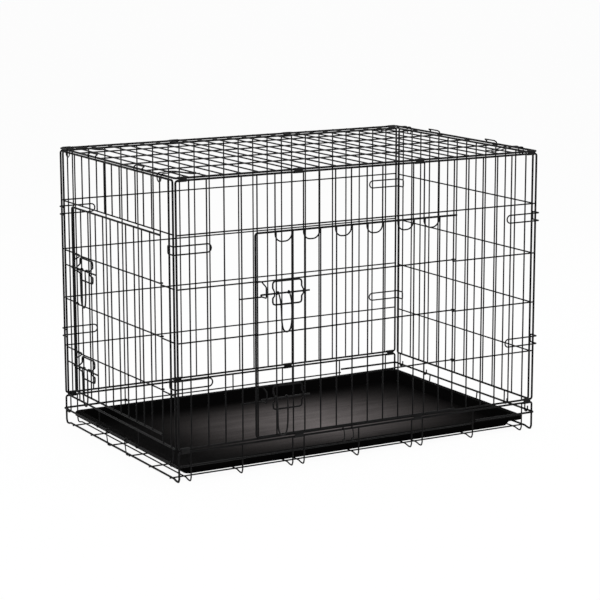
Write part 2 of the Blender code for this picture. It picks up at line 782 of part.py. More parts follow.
def rail_clip():
    """A wire bail that hangs on the front rail of the base."""
    out = Vector((0, -1, 0))
    up = Vector((0, 0, 1))
    eye = FRAME_R + CLIP_R + GAP
    eyes = []
    for side in (-1, 1):
        centre = Vector((RAIL_CLIP_X + side * RAIL_CLIP_WIDTH / 2, -HALF_W, BASE_RAIL))
        eyes.append(arc(centre, out, up, eye, 240, 0, 6))
    low = [Vector((p[-1].x, p[-1].y, RAIL_CLIP_BOTTOM)) for p in eyes]
    bent = fillet([eyes[0][-1], *low, eyes[1][-1]], 0.006, 2)
    path = eyes[0] + bent[1:-1] + eyes[1][::-1]
    pivot = Vector((RAIL_CLIP_X, -HALF_W, BASE_RAIL))
    return solid("front_rail_clip", [[{"points": path, "radius": CLIP_R, "normal": out}]]), pivot


def top_hook(name, side, y):
    """A spring hook woven into the top panel. It lies over the end rail and hangs down outside."""
    over = TOP_HEIGHT + FRAME_R + GAP + HOOK_R
    under = TOP_HEIGHT + LAP - MESH_R - GAP - HOOK_R
    wires = sum(bay_wires(), [])
    first = wires[0] if side < 0 else wires[-1]
    second = wires[1] if side < 0 else wires[-2]
    above = TOP_HEIGHT + LAP + MESH_R + GAP + HOOK_R
    profile = [
        (abs(second) - 0.018, under),
        (abs(second) + 0.006, under),
        (abs(first) - 0.010, above),
        (abs(first) + 0.010, above + 0.001),
        (HALF_L - 0.014, over),
        (HALF_L + 0.0022, over),
        (HALF_L + FRAME_R + GAP + 2 * HOOK_R, over - 0.0035),
        (HALF_L + FRAME_R + GAP + 2 * HOOK_R, TOP_HEIGHT - 0.012),
    ]
    half = TOP_HOOK_WIDTH / 2
    path = [Vector((side * x, y - half, z)) for x, z in profile]
    tip = side * profile[-1][0]
    path.append(Vector((tip, y - TOP_HOOK_TIP, TOP_HEIGHT - 0.0175)))
    path.append(Vector((tip, y + TOP_HOOK_TIP, TOP_HEIGHT - 0.0175)))
    path += [Vector((side * x, y + half, z)) for x, z in profile[::-1]]
    return solid(name, [[{"points": path, "radius": HOOK_R}]])


def front_door_parts(wire_mat, bolt_mat):
    bays = bay_wires()
    pin = bays[2][2]
    post = bays[0][4]
    wires = [x - DOOR_WIRE_SHIFT for x in sum(bays, []) if post < x < pin]
    latch_side = post - DOOR_OVERLAP
    levels = spread(PANEL_BOTTOM, PANEL_TOP, LEVELS)[1:4]
    rods = [level - ROD_DROP for level in (levels[2], levels[0])]
    first = wires[0] - FRONT_GUIDE_INSET
    guides = [(first, first + FRONT_GUIDE_WIDTH, rod) for rod in rods]
    leaf = door("front_door", front, wires, latch_side, pin, FRONT_DOOR_BOTTOM, FRONT_DOOR_TOP,
                levels, guides)
    finish(leaf, wire_mat, front(pin, PIN_OUT, 0))
    tip = post - FRONT_TIP_INSET
    for i, name in enumerate(("upper", "lower")):
        latch("front", name, front, tip, FRONT_BOLT_LENGTH, rods[i], first + FRONT_GRIP_INSETS[i],
              FRONT_GRIP_WIDTHS[i], FRONT_GRIP_DROPS[i], bolt_mat)


def latch(side, name, place, tip, length, rod, near, width, drop, mat):
    """A slide bolt with its hanging handle."""
    pivot = place(tip, ROD_OUT, rod)
    finish(bolt(f"{side}_bolt_{name}", place, tip, tip + length, rod), mat, pivot)
    grip = handle(f"{side}_handle_{name}", place, near, near + width, rod, drop)
    finish(grip, mat, place(near, ROD_OUT, rod))


def left_door_parts(wire_mat, bolt_mat):
    places = [-s for s in end_wires()][::-1]
    pin = places[-2]
    post = places[1]
    wires = places[2:-2]
    latch_side = post - DOOR_OVERLAP
    levels = spread(END_BOTTOM, END_TOP, LEVELS)[1:4]
    rods = [level - ROD_DROP for level in (levels[2], levels[0])]
    first = latch_side + END_GUIDE_INSET
    guides = [(first, first + END_GUIDE_WIDTH, rod) for rod in rods]
    leaf = door("left_door", left, wires, latch_side, pin, END_DOOR_BOTTOM, END_DOOR_TOP,
                levels, guides)
    finish(leaf, wire_mat, left(pin, PIN_OUT, 0))
    tip = post - END_TIP_INSET
    for i, name in enumerate(("upper", "lower")):
        latch("left", name, left, tip, END_BOLT_LENGTH, rods[i], first + END_GRIP_INSETS[i],
              END_GRIP_WIDTHS[i], END_GRIP_DROPS[i], bolt_mat)


def centre_on_floor():
    """Moves the whole cage so that the origin is below the middle of its outer box."""
    root = bpy.data.objects.new("cage_origin", None)
    bpy.context.scene.collection.objects.link(root)
    bpy.context.view_layer.update()
    corners = [obj.matrix_world @ vertex.co for obj in PARTS for vertex in obj.data.vertices]
    low = Vector([min(p[i] for p in corners) for i in range(3)])
    high = Vector([max(p[i] for p in corners) for i in range(3)])
    for obj in PARTS:
        obj.parent = root
    root.location = (-(low.x + high.x) / 2, -(low.y + high.y) / 2, -low.z)
    bpy.context.view_layer.update()
    print("box", [round(v, 5) for v in high - low], "moved by", [round(v, 5) for v in root.location])
    for name, obj in PIVOTS.items():
        print("pivot", name, [round(v, 5) for v in obj.matrix_world.translation])


def main():
    for obj in list(bpy.data.objects):
        bpy.data.objects.remove(obj)
    wire = material("black_coated_wire", (0.012, 0.012, 0.013), 0.38, 0.0)
    latch = material("black_coated_latch", (0.014, 0.014, 0.015), 0.34, 0.0)
    strip = material("black_coated_clip", (0.016, 0.016, 0.017), 0.42, 0.0)
    plastic = material("black_tray_plastic", (0.030, 0.028, 0.028), 0.55, 0.0)
    finish(base_panel(), wire)
    finish(front_panel(), wire)
    finish(back_panel(), wire)
    finish(top_panel(), wire)
    finish(left_end_panel(), wire, Vector((-HALF_L - RAIL_OUTSIDE, 0, RAIL_HEIGHT_LEFT)))
    finish(right_end_panel(), wire, Vector((HALF_L + RAIL_OUTSIDE, 0, RAIL_HEIGHT_RIGHT)))
    front_door_parts(wire, latch)
    left_door_parts(wire, latch)
    hinge_clips(strip)
    finish(tray(), plastic)
    for number, y in enumerate(TRAY_HOOKS, 1):
        hook, pivot = tray_hook(f"tray_hook_{number}", y)
        finish(hook, latch, pivot)
    bail, pivot = rail_clip()
    finish(bail, latch, pivot)
    for end, side in (("left", -1), ("right", 1)):
        near = top_hook(f"top_hook_front_{end}", side, TOP_HOOK_FRONT_INSET - HALF_W)
        far = top_hook(f"top_hook_back_{end}", side, HALF_W - TOP_HOOK_BACK_INSET)
        finish(near, latch)
        finish(far, latch)
    centre_on_floor()


main()
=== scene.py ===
import math

import bmesh
import bpy
from mathutils import Matrix, Vector


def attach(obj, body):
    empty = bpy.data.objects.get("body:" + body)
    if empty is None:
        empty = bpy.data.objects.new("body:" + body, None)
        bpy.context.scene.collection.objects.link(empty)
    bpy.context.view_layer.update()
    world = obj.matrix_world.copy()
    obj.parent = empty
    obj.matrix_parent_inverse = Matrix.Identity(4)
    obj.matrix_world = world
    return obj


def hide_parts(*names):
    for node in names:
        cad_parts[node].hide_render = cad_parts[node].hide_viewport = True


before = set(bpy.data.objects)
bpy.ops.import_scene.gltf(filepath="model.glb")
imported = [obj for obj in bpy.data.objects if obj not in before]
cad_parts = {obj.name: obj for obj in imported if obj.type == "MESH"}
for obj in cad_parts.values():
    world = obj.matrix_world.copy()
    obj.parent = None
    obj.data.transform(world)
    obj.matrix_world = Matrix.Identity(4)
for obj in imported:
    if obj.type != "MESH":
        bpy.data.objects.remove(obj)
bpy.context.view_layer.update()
print("frame loaded,", len(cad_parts), "nodes")

# The measured cage is centred on its base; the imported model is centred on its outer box.
shift = Vector((0.0048, 0.00812, 0))

cage = {
    "length": 1.0714,
    "width": 0.702,
    "panelBottom": 0.0865,
    "panelTop": 0.7592,
    "topLift": 0.0063,
    "baseDrop": 0.008,
    "cornerBend": 0.0064,
    "leftBay": 0.3407,
    "rightBay": 0.3707,
    "clipGap": 0.0335,
    "endMargin": 0.035,
    "postShift": 0.0043,
    "bayWires": (7, 8, 8),
    "levels": 6,
    "topLongWires": (-0.171, -0.035, 0.104, 0.235),
}
wire = {  # radii of the bare wires, and what each is drawn with
    "frame": 0.0025, "mesh": 0.0017, "hook": 0.0013, "bolt": 0.0021, "guide": 0.0016, "grip": 0.0015,
    "leg": 0.0020, "bar": 0.0020, "clip": 0.0012, "coating": 0.0002, "sides": 10, "sharpAngle": 50,
}
weld = {"sink": 0.0006, "gap": 0.0004, "bead": 0.0021, "beadRounds": 2, "intoFrame": 0.0004}

lap = wire["mesh"] - weld["sink"] / 2
halfL = cage["length"] / 2
halfW = cage["width"] / 2
topHeight = cage["panelTop"] + cage["topLift"]
baseRail = cage["panelBottom"] - cage["baseDrop"]
clipOne = -halfL + cage["leftBay"]
clipTwo = halfL - cage["rightBay"]
into = weld["intoFrame"]
upWay = Vector((0, 0, 1))


mixSockets = {"VECTOR": (4, 5, 1), "RGBA": (6, 7, 2)}  # the Mix node's two inputs and its output


class Value:  # one socket, so that shader maths reads as an expression
    def __init__(self, tree, socket):
        self.tree = tree
        self.socket = socket

    def maths(self, operation, first, second=0.0):
        return self.tree.add("ShaderNodeMath", {"operation": operation}, {0: first, 1: second})

    def __add__(self, other):
        return self.maths("ADD", self, other)

    def __radd__(self, other):
        return self.maths("ADD", other, self)

    def __sub__(self, other):
        return self.maths("SUBTRACT", self, other)

    def __rsub__(self, other):
        return self.maths("SUBTRACT", other, self)

    def __mul__(self, other):
        return self.maths("MULTIPLY", self, other)

    def __rmul__(self, other):
        return self.maths("MULTIPLY", other, self)

    def above(self, level):
        return self.maths("GREATER_THAN", self, level)

    def atMost(self, level):
        return self.maths("MINIMUM", self, level)

    def distance(self):
        return self.maths("ABSOLUTE", self)

    def swing(self, amount):  # a noise of 0 to 1, turned into plus or minus half the amount
        return (self - 0.5) * amount


class Tree:
    def __init__(self, tree):
        self.tree = tree

    def feed(self, socket, value):
        if isinstance(value, Value):
            self.tree.links.new(value.socket, socket)
        else:
            socket.default_value = value

    # Any node, from its type, its settings, and the values or links of its sockets.
    def add(self, kind, settings=None, inputs=None, output=0):
        node = self.tree.nodes.new(kind)
        for name, value in (settings or {}).items():
            if name == "stops":
                for element, (place, shade) in zip(node.color_ramp.elements, value):
                    element.position = place
                    element.color = (*shade, 1)
            else:
                setattr(node, name, value)
        for name, value in (inputs or {}).items():
            self.feed(node.inputs[name], value)
        return Value(self, node.outputs[output]) if len(node.outputs) else node

    def pick(self, value, *names):  # further outputs of the node behind a value
        return [Value(self, value.socket.node.outputs[name]) for name in names]

    def noise(self, place, scale, detail, output=0):
        return self.add("ShaderNodeTexNoise", {}, {"Vector": place, "Scale": scale, "Detail": detail}, output)

    def bump(self, strength, distance, height):
        return self.add("ShaderNodeBump", {}, {"Strength": strength, "Distance": distance, "Height": height})

    def mix(self, kind, share, first, second):
        one, two, result = mixSockets[kind]
        return self.add("ShaderNodeMix", {"data_type": kind}, {0: share, one: first, two: second}, result)

    def fade(self, value, start, end):  # 1 up to the start, 0 from the end on
        span = {"Value": value, "From Min": start, "From Max": end, "To Min": 1.0, "To Max": 0.0}
        return self.add("ShaderNodeMapRange", {"interpolation_type": "SMOOTHSTEP"}, span)


def finishTree(name):
    material = bpy.data.materials.new(name)
    material.use_nodes = True
    tree = Tree(material.node_tree)
    place = tree.add("ShaderNodeTexCoord", output="Object")
    return material, material.node_tree.nodes["Principled BSDF"], tree, place


def connect(tree, shader, **sockets):
    for name, value in sockets.items():
        tree.feed(shader.inputs[name.replace("_", " ")], value)


def addObject(name, data):
    obj = bpy.data.objects.new(name, data)
    bpy.context.scene.collection.objects.link(obj)
    return obj


coat = {"patchDetail": 3.0, "peelDetail": 2.0, "dustDetail": 6.0, "dustSwing": 0.10, "peelHeight": 0.0004}
wireLook = {
    "patchScale": 38.0, "peelScale": 900.0, "dustScale": 240.0, "peelDepth": 0.35,
    "rough": 0.48, "roughSwing": 0.18, "specular": 0.05,
    "stops": ((0.30, (0.0032, 0.0032, 0.0035)), (0.72, (0.0075, 0.0074, 0.0076))),
}
latchLook = {
    "patchScale": 70.0, "peelScale": 1200.0, "dustScale": 320.0, "peelDepth": 0.25,
    "rough": 0.42, "roughSwing": 0.14, "specular": 0.09,
    "stops": ((0.30, (0.0035, 0.0035, 0.0038)), (0.75, (0.0085, 0.0084, 0.0086))),
}
clipLook = {
    "patchScale": 120.0, "peelScale": 700.0, "dustScale": 420.0, "peelDepth": 0.55,
    "rough": 0.50, "roughSwing": 0.22, "specular": 0.08,
    "stops": ((0.28, (0.0035, 0.0035, 0.0038)), (0.78, (0.0100, 0.0098, 0.0098))),
}


def coatedSteel(name, look):  # black electro-coat: a satin film with orange peel and duller patches
    material, shader, tree, place = finishTree(name)
    patch = tree.noise(place, look["patchScale"], coat["patchDetail"])
    peel = tree.noise(place, look["peelScale"], coat["peelDetail"])
    dust = tree.noise(place, look["dustScale"], coat["dustDetail"])
    rough = look["rough"] + patch.swing(look["roughSwing"]) + dust.swing(coat["dustSwing"])
    bump = tree.bump(look["peelDepth"], coat["peelHeight"], peel)
    color = tree.add("ShaderNodeValToRGB", {"stops": look["stops"]}, {"Fac": patch})
    connect(tree, shader, Base_Color=color, Roughness=rough, Normal=bump, Specular_IOR_Level=look["specular"])
    return material


trayLook = {
    "warpScale": 260.0, "warpDetail": 2.0, "warp": 0.004, "grainScale": 620.0, "grainWidth": 3.2,
    "grainDepth": 0.50, "grainHeight": 0.0005, "speckScale": 1500.0, "speckShare": 0.2, "cloudScale": 5.0,
    "fineDetail": 4.0, "streaks": (6.0, 60.0, 60.0), "streakDetail": 5.0, "specular": 0.002,
    "rough": 0.55, "mattRough": 0.22, "cloudRough": 0.16, "grainRough": 0.10,
    "tone": 0.50, "grainTone": 0.25, "cloudTone": 0.35, "streakTone": 0.55,
    # the pale colour is reached only inside the painted sheen on the floor's middle, most on raised cells
    "deep": (0.0017, 0.0016, 0.0016, 1), "raisedAndSheen": (0.209, 0.188, 0.186, 1),
    "mattSheenEnd": (-0.10, 0.48), "mattSheenSide": (0.03, 0.30), "mattSheenTop": 0.0115, "mattSheenMiddle": 0.05,
}


# Moulded plastic: raised cells with narrow valleys, and a more matt middle of the floor that also carries a
# painted sheen, a paler colour fading to black towards the walls and ends.
def trayPlastic():
    look = trayLook
    material, shader, tree, place = finishTree("blackTrayPlastic")
    warp = tree.noise(place, look["warpScale"], look["warpDetail"], "Color")
    bent = tree.mix("VECTOR", look["warp"], place, warp)
    cells = tree.add("ShaderNodeTexVoronoi", {"feature": "DISTANCE_TO_EDGE"},
                     {"Vector": bent, "Scale": look["grainScale"]})
    grain = (cells * look["grainWidth"]).atMost(1.0)
    speck = tree.noise(place, look["speckScale"], look["fineDetail"])
    cloud = tree.noise(place, look["cloudScale"], look["fineDetail"])
    height = grain * (1 - look["speckShare"]) + speck * look["speckShare"]
    x, y, z = tree.pick(tree.add("ShaderNodeSeparateXYZ", {}, {"Vector": place}), "X", "Y", "Z")
    # painted sheen: the floor's middle, below the rim, is painted paler and fades to the deep black towards
    # the walls and ends, as a reflection would; the same patch is also made rougher
    length = tree.fade((x - (shift.x + look["mattSheenMiddle"])).distance(), *look["mattSheenEnd"])
    width = tree.fade((y - shift.y).distance(), *look["mattSheenSide"])
    mattSheen = length * width * (1 - z.above(look["mattSheenTop"]))
    streak = tree.add("ShaderNodeMapping", {}, {"Vector": place, "Scale": look["streaks"]})
    brushed = tree.noise(streak, 1.0, look["streakDetail"])
    tone = look["tone"] + grain * look["grainTone"] + cloud.swing(look["cloudTone"])
    # the painted sheen scales the whole tone, so cells, clouds and streaks lighten the colour only inside it
    tone = mattSheen * (tone + brushed.swing(look["streakTone"]))
    rough = look["rough"] + mattSheen * look["mattRough"] + cloud.swing(look["cloudRough"])
    rough = rough - grain.swing(look["grainRough"])
    bump = tree.bump(look["grainDepth"], look["grainHeight"], height)
    connect(tree, shader, Base_Color=tree.mix("RGBA", tone, look["deep"], look["raisedAndSheen"]), Roughness=rough,
            Normal=bump, Specular_IOR_Level=look["specular"])
    return material


wireFinish = coatedSteel("blackCoatedWire", wireLook)
latchFinish = coatedSteel("blackCoatedLatch", latchLook)
clipFinish = coatedSteel("blackCoatedClip", clipLook)
trayFinish = trayPlastic()
print("finishes made")


# Each face gives the place of s along it, n outward from it, and its height (or depth, on the top).
def front(s, n, z):
    return Vector((s, -halfW - n, z))


def back(s, n, z):
    return Vector((s, halfW + n, z))


def left(s, n, z):
    return Vector((-halfL - n, -s, z))


def right(s, n, z):
    return Vector((halfL + n, s, z))


def top(s, n, y):
    return Vector((s, y, topHeight + n))


def outOf(place):  # a face's outward direction
    return (place(0, 1, 0) - place(0, 0, 0)).normalized()


def spread(first, last, count):
    return [first + (last - first) * i / (count - 1) for i in range(count)]


def fillet(points, radius, steps=6):  # an open path with an arc at each corner
    path = [Vector(points[0])]
    for before, corner, after in zip(points, points[1:], points[2:]):
        corner = Vector(corner)
        backWay = (Vector(before) - corner).normalized()
        onWay = (Vector(after) - corner).normalized()
        half = backWay.angle(onWay) / 2
        reach = radius / math.tan(half)
        centre = corner + (backWay + onWay).normalized() * radius / math.sin(half)
        start = corner + backWay * reach - centre
        axis = start.cross(corner + onWay * reach - centre).normalized()
        for i in range(steps + 1):
            turn = Matrix.Rotation((math.pi - 2 * half) * i / steps, 3, axis)
            path.append(centre + turn @ start)
    path.append(Vector(points[-1]))
    return path


def closedFillet(points, radius, steps=6):
    middle = (Vector(points[-1]) + Vector(points[0])) / 2
    return fillet([middle, *points, middle], radius, steps)[:-1]


def arc(centre, across, up, radius, start, end, steps=14):
    found = []
    for angle in spread(start, end, steps + 1):
        angle = math.radians(angle)
        found.append(centre + radius * (math.cos(angle) * across + math.sin(angle) * up))
    return found


def soften(points, rounds=2):  # cuts the corners of an open path, and keeps its ends
    for _ in range(rounds):
        cut = [points[0]]
        for one, two in zip(points, points[1:]):
            cut += [one.lerp(two, share) for share in (0.25, 0.75)]
        points = [*cut, points[-1]]
    return points


def newGroup(name, result, **inputs):  # each input is a socket's name with its type
    group = bpy.data.node_groups.new(name, "GeometryNodeTree")
    sockets = {}
    for given, kind in inputs.items():
        socket = group.interface.new_socket(given, in_out="INPUT", socket_type="NodeSocket" + kind)
        sockets[given] = socket.identifier
    group.interface.new_socket(result, in_out="OUTPUT", socket_type="NodeSocketGeometry")
    tree = Tree(group)
    start = tree.add("NodeGroupInput")
    return group, sockets, tree, dict(zip(inputs, tree.pick(start, *inputs)))


# Every tree ends here, in real and smooth faces with their material.
def endGroup(tree, shape, finish):
    real = tree.add("GeometryNodeRealizeInstances", {}, {"Geometry": shape})
    smooth = tree.add("GeometryNodeSetShadeSmooth", {}, {"Geometry": real})
    painted = tree.add("GeometryNodeSetMaterial", {}, {"Geometry": smooth, "Material": finish})
    tree.add("NodeGroupOutput", {}, {0: painted})


def grow(host, group, sockets, **values):  # runs a tree on its host, with its inputs set first
    nodes = host.modifiers.new(group.name, "NODES")
    nodes.node_group = group
    for name, value in values.items():
        nodes[sockets[name]] = value
    bpy.context.view_layer.update()


# Sweeps a round wire along each path and puts a bead on each weld.
def wireNodes():
    group, sockets, tree, given = newGroup("roundWires", "wires", paths="Geometry", wireSides="Int",
                                           beadRadius="Float", finish="Material")
    radius = tree.add("GeometryNodeInputNamedAttribute", {"data_type": "FLOAT"}, {"Name": "wireRadius"})
    isWeld = tree.add("GeometryNodeInputNamedAttribute", {"data_type": "BOOLEAN"}, {"Name": "isWeld"})
    lines = tree.add("GeometryNodeMeshToCurve", {}, {"Mesh": given["paths"]})
    circle = tree.add("GeometryNodeCurvePrimitiveCircle", {}, {"Resolution": given["wireSides"]})
    swept = tree.add("GeometryNodeCurveToMesh", {}, {"Curve": lines, "Profile Curve": circle, "Scale": radius,
                                                     "Fill Caps": True})
    dots = tree.add("GeometryNodeMeshToPoints", {}, {"Mesh": given["paths"], "Selection": isWeld})
    bead = tree.add("GeometryNodeMeshIcoSphere", {}, {"Radius": given["beadRadius"],
                                                      "Subdivisions": weld["beadRounds"]})
    beads = tree.add("GeometryNodeInstanceOnPoints", {}, {"Points": dots, "Instance": bead})
    joined = tree.add("GeometryNodeJoinGeometry")
    for part in (swept, beads):
        tree.feed(joined.socket.node.inputs[0], part)
    endGroup(tree, joined, given["finish"])
    return group, sockets


wireGroup, wireSockets = wireNodes()


def plainMesh(host, name):  # the host's evaluated result takes the host's place
    graph = bpy.context.evaluated_depsgraph_get()
    data = bpy.data.meshes.new_from_object(host.evaluated_get(graph))
    bpy.data.objects.remove(host)
    data.name = name
    for attribute in ("wireRadius", "isWeld"):
        if attribute in data.attributes:
            data.attributes.remove(data.attributes[attribute])
    data.set_sharp_from_angle(angle=math.radians(wire["sharpAngle"]))
    return addObject(name, data)


# A wire is its points, its radius (one, or one for each point) and whether it is closed.
def makeWires(name, wires, welds=(), finish=wireFinish, sides=wire["sides"]):
    data = bpy.data.meshes.new(name + "Paths")
    points, edges, radii = [], [], []
    for path, radius, closed in wires:
        first = len(points)
        points += [p + shift for p in path]
        sizes = radius if isinstance(radius, list) else [radius] * len(path)
        radii += [size + wire["coating"] for size in sizes]
        edges += [(first + i, first + i + 1) for i in range(len(path) - 1)]
        if closed:
            edges.append((len(points) - 1, first))
    onWires = len(points)
    points += [p + shift for p in welds]
    radii += [0.0] * len(welds)
    data.from_pydata([tuple(p) for p in points], edges, [])
    data.attributes.new("wireRadius", "FLOAT", "POINT").data.foreach_set("value", radii)
    isWeld = data.attributes.new("isWeld", "BOOLEAN", "POINT")
    isWeld.data.foreach_set("value", [i >= onWires for i in range(len(points))])
    host = addObject(name + "Host", data)
    grow(host, wireGroup, wireSockets, wireSides=sides, beadRadius=weld["bead"], finish=finish)
    return plainMesh(host, name)


def settle(piece, body, slot, *nodes):
    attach(piece, body)
    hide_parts(*nodes)


def grilleWire(points, radius=wire["mesh"], closed=False):
    return points, radius, closed


def line(place, s0, z0, s1, z1, n=0.0):
    return grilleWire([place(s0, n, z0), place(s1, n, z1)])


def border(place, s0, z0, s1, z1):
    corners = [place(s0, 0, z0), place(s1, 0, z0), place(s1, 0, z1), place(s0, 0, z1)]
    return closedFillet(corners, cage["cornerBend"]), wire["frame"], True


def crossings(place, columns, rows):  # a weld where each upright passes each level wire
    return [place(s, 0, z) for s in columns for z in rows]


keepers = {"length": 0.104, "height": 0.021, "levels": (0.2405, 0.578), "reach": 0.0100, "inward": 0.0255,
           "bend": 0.004, "backAside": 0.005, "backLift": 0.008}
uLoops = {"bottom": 0.587, "bend": 0.0198, "shift": 0.0015}
rod = {
    "drop": 0.0311, "standOff": 0.0078, "clear": 0.0040, "keeperClear": 0.0039, "keeperBelow": 0.009,
    "keeperPast": 0.004, "keeperBend": ((0.0125, 0, 0), (0.0085, 0, 0), (0.001, 0, 0.0015),
                                        (0, 0.27, 0.0062), (0, 1, 0.0115), (0, 1, 0.018)),
}
latches = {
    "tipDrop": 0.005, "tipBack": 0.0025, "tipBend": 0.0012, "boltSides": 14,
    "eye": 0.0041, "eyeTurn": (240, 0), "legInset": 0.0006, "gripSides": 12,
    "gripShape": ((0, 0.28), (0.001, 0.82), (0.0085, 1)),
    "front": {"tip": 0.0029, "keeper": 0.0108, "rod": 0.140, "guide": 0.083, "guideInset": 0.0118,
              "grips": (0.0199, 0.0081), "widths": (0.031, 0.030), "drops": (0.100, 0.098),
              "leans": (0.0075, 0.002)},
    "left": {"tip": 0.0003, "keeper": 0.0167, "rod": 0.155, "guide": 0.082, "guideInset": 0.056,
             "grips": (0.021, 0.021), "widths": (0.032, 0.032), "drops": (0.100, 0.100),
             "leans": (0, 0)},
}
pinOut = lap  # how far each layer of a door stands out from its panel
eyeReach = 2 * wire["mesh"] + weld["gap"]
barsOut = pinOut + eyeReach
doorFrameOut = barsOut + lap
doorWiresOut = doorFrameOut + lap
rodOut = doorWiresOut + rod["standOff"]
guideOut = doorWiresOut + wire["mesh"] + wire["guide"] - weld["sink"]
humpOut = rodOut + rod["clear"]
keeperOut = rodOut + rod["keeperClear"]


def bayWires():
    counts = cage["bayWires"]
    gap = cage["clipGap"] / 2
    return (
        spread(-halfL + cage["endMargin"], clipOne - gap, counts[0]),
        spread(clipOne + gap, clipTwo - gap, counts[1]),
        spread(clipTwo + gap, halfL - cage["endMargin"], counts[2]),
    )


bays = bayWires()
allWires = bays[0] + bays[1] + bays[2]
frontPost, frontPin = bays[0][4], bays[2][2]  # the uprights that the door shuts against and turns on
panelLevels = spread(cage["panelBottom"], cage["panelTop"], cage["levels"])


def cornerKeepers(place, aside=0, lift=0):
    out = wire["frame"] + wire["mesh"] - weld["sink"] - wire["coating"]
    found = []
    for side in (-1, 1):
        for low in keepers["levels"]:
            low += lift
            high = low + keepers["height"]
            far = side * (halfL + keepers["reach"]) + (aside if side < 0 else 0)
            middle = side * (halfL + keepers["reach"] - keepers["length"] + keepers["height"] / 2) + aside
            outside = [place(middle, out, low), place(far, out, low), place(far, -keepers["inward"], low)]
            outside += [place(far, -keepers["inward"], high), place(far, out, high), place(middle, out, high)]
            along = place(-side, 0, 0) - place(0, 0, 0)
            centre = place(middle, out, (low + high) / 2)
            bow = arc(centre, along, upWay, keepers["height"] / 2, 90, -90, steps=12)
            bent = fillet(outside, keepers["bend"], steps=5)
            found.append(grilleWire(bent[:-1] + bow[:-1], closed=True))
    return found


def boltKeeper(place, sFrom, sBack, sLoop, level):
    low = level - rod["drop"] - rod["keeperBelow"]
    bend = [place(sLoop - before, -lap + (keeperOut + lap) * share, level - down)
            for before, share, down in rod["keeperBend"]]
    path = [place(sFrom, -lap, level)] + soften(bend, rounds=3)
    foot = [path.pop(), place(sLoop, keeperOut, low), place(sLoop, -lap, low), place(sBack, -lap, low)]
    return grilleWire(path + fillet(foot, keepers["bend"]))


def frontPanel():
    pin, post = frontPin, frontPost
    low, high = cage["panelBottom"] - into, cage["panelTop"] + into
    past = halfL + into
    wires = [border(front, -halfL, cage["panelBottom"], halfL, cage["panelTop"])]
    postAt = post - cage["postShift"]
    full = [x for x in allWires if x < post or x >= pin] + [postAt]
    span = [x for x in allWires if post < x < pin]
    wires += [line(front, x, low, x, high, lap) for x in full]
    for one, two in zip(span[::2], span[1::2]):
        near, far = one - uLoops["shift"], two - uLoops["shift"]
        loop = [front(near, lap, high), front(near, lap, uLoops["bottom"])]
        loop += [front(far, lap, uLoops["bottom"]), front(far, lap, high)]
        wires.append(grilleWire(fillet(loop, uLoops["bend"], steps=10)))
    wires.append(line(front, -past, panelLevels[4], past, panelLevels[4], -lap))
    for level in panelLevels[1:4]:
        wires.append(line(front, pin - into, level, past, level, -lap))
    loopAt = post + latches["front"]["keeper"]
    for level in (panelLevels[1], panelLevels[3]):
        wires.append(boltKeeper(front, -past, bays[0][3] - rod["keeperPast"], loopAt, level))
    wires.append(line(front, -past, panelLevels[2], postAt + into, panelLevels[2], -lap))
    wires += cornerKeepers(front)
    welds = crossings(front, full, panelLevels[1:-1]) + crossings(front, span, panelLevels[4:5])
    return makeWires("frontPanelWires", wires, welds)


def backPanel():
    past = halfL + into
    wires = [border(back, -halfL, cage["panelBottom"], halfL, cage["panelTop"])]
    wires += [line(back, x, cage["panelBottom"] - into, x, cage["panelTop"] + into, lap) for x in allWires]
    wires += [line(back, -past, level, past, level, -lap) for level in panelLevels[1:-1]]
    wires += cornerKeepers(back, keepers["backAside"], keepers["backLift"])
    return makeWires("backPanelWires", wires, crossings(back, allWires, panelLevels[1:-1]))


endPanel = {
    "bottom": 0.084, "top": 0.759, "side": 0.016, "wires": 14, "firstWire": 0.0216, "lastWire": 0.0335,
    "pivotInset": 0.015, "leftPivots": (-0.118, 0.128), "rightPivots": (-0.222, 0.189),
    "hookTip": 0.009, "tabs": ((3, 4), (9, 10)), "tabFoot": 0.0022, "tabRise": 0.0040,
    "tabInward": 0.0030, "tabHeight": 0.0084, "tabBend": 0.003,
}
endSide = halfW - endPanel["side"]
backToFront = spread(-endSide + endPanel["firstWire"], endSide - endPanel["lastWire"], endPanel["wires"])
endWires = [-s for s in reversed(backToFront)]
leftPost, leftPin = endWires[1], endWires[-2]
endLevels = spread(endPanel["bottom"], endPanel["top"], cage["levels"])


def endTabs(place):
    out = wire["frame"] + wire["mesh"] - weld["sink"]
    profile = ((out, -endPanel["tabFoot"]), (out, endPanel["tabRise"]),
               (-endPanel["tabInward"], endPanel["tabHeight"]))
    found = []
    for i, j in endPanel["tabs"]:
        path = [place(endWires[i], n, topHeight + z) for n, z in profile]
        path += [place(endWires[j], n, topHeight + z) for n, z in profile[::-1]]
        found.append(grilleWire(fillet(path, endPanel["tabBend"], steps=5)))
    return found


def topPanel():
    past = halfW + into
    wires = [border(top, -halfL, -halfW, halfL, halfW)]
    wires += [line(top, x, -past, x, past, lap) for x in allWires]
    past = halfL + into
    wires += [line(top, -past, y, past, y, -lap) for y in cage["topLongWires"]]
    wires += endTabs(left) + endTabs(right)
    return makeWires("topPanelWires", wires, crossings(top, allWires, cage["topLongWires"]))


settle(frontPanel(), "cage", "black_coated_wire", "front_panel")
settle(backPanel(), "cage", "black_coated_wire", "back_panel")
settle(topPanel(), "cage", "black_coated_wire", "top_panel")
print("long panels and top made")


